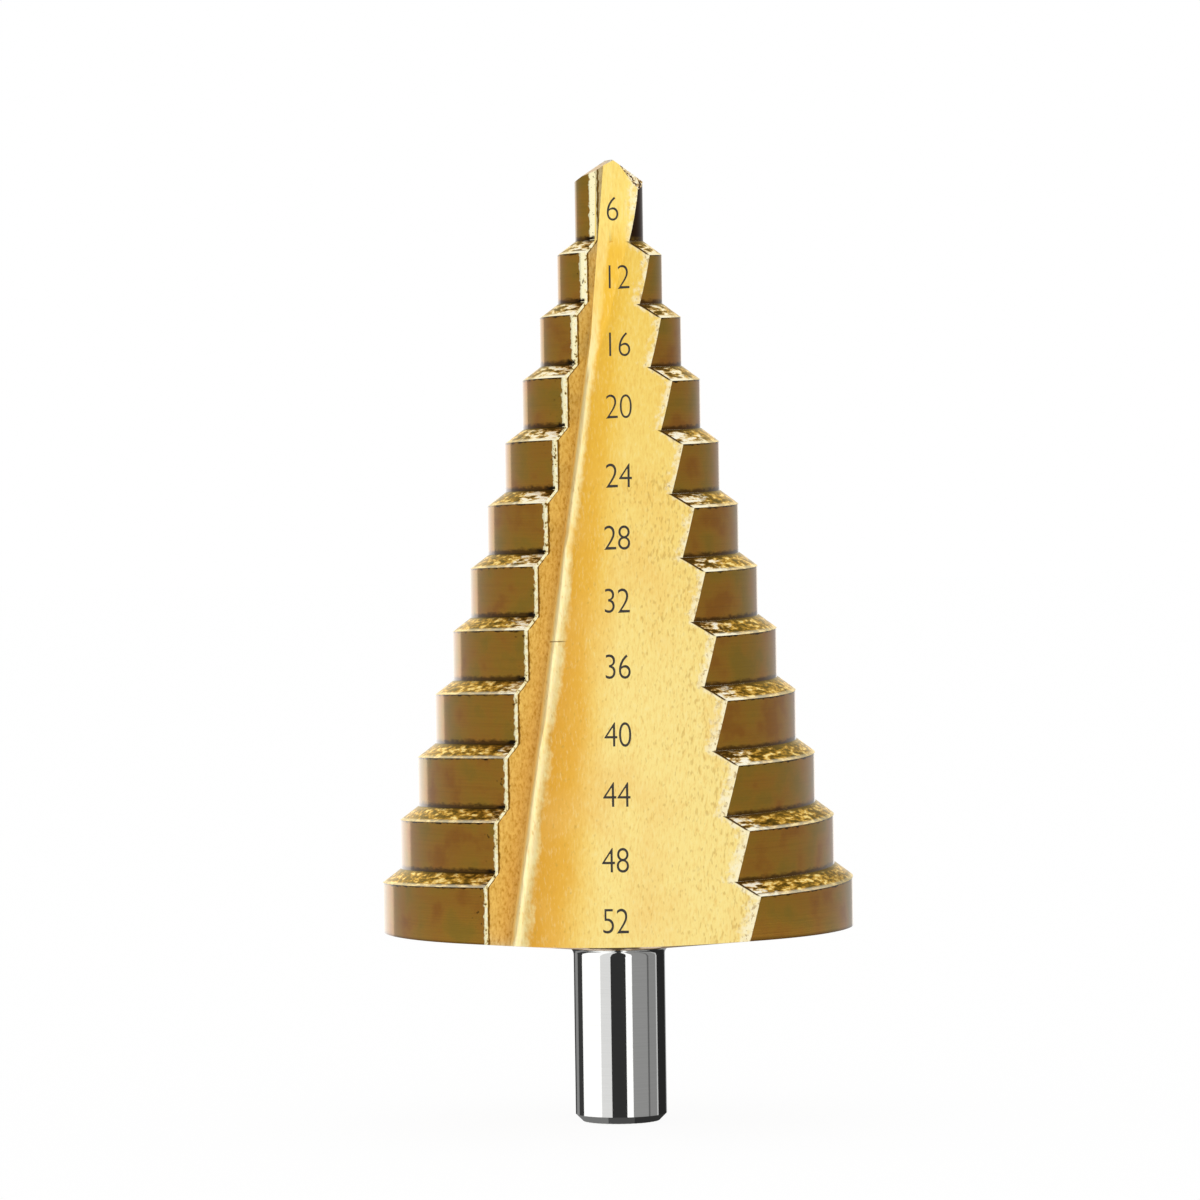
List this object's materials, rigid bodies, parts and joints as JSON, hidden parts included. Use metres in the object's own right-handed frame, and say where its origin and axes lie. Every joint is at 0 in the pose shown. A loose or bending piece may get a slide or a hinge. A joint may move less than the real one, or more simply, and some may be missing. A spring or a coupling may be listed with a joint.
{
  "type": "step drill",
  "caption": "Stepped cone drill with two straight flutes, a ground split point and a plain round shank, coated gold.",
  "frame": {"origin": "middle of the shank's end face, on the axis", "axes": "+Z along the axis to the tip; the flute with the size numbers faces -Y"},
  "size_m": [0.0514, 0.0438, 0.1052],
  "materials": {
    "step_drill": "satin gold coating"
  },
  "bodies": {
    "root": {"step_drill": "step_drill"}
  },
  "joints": []
}
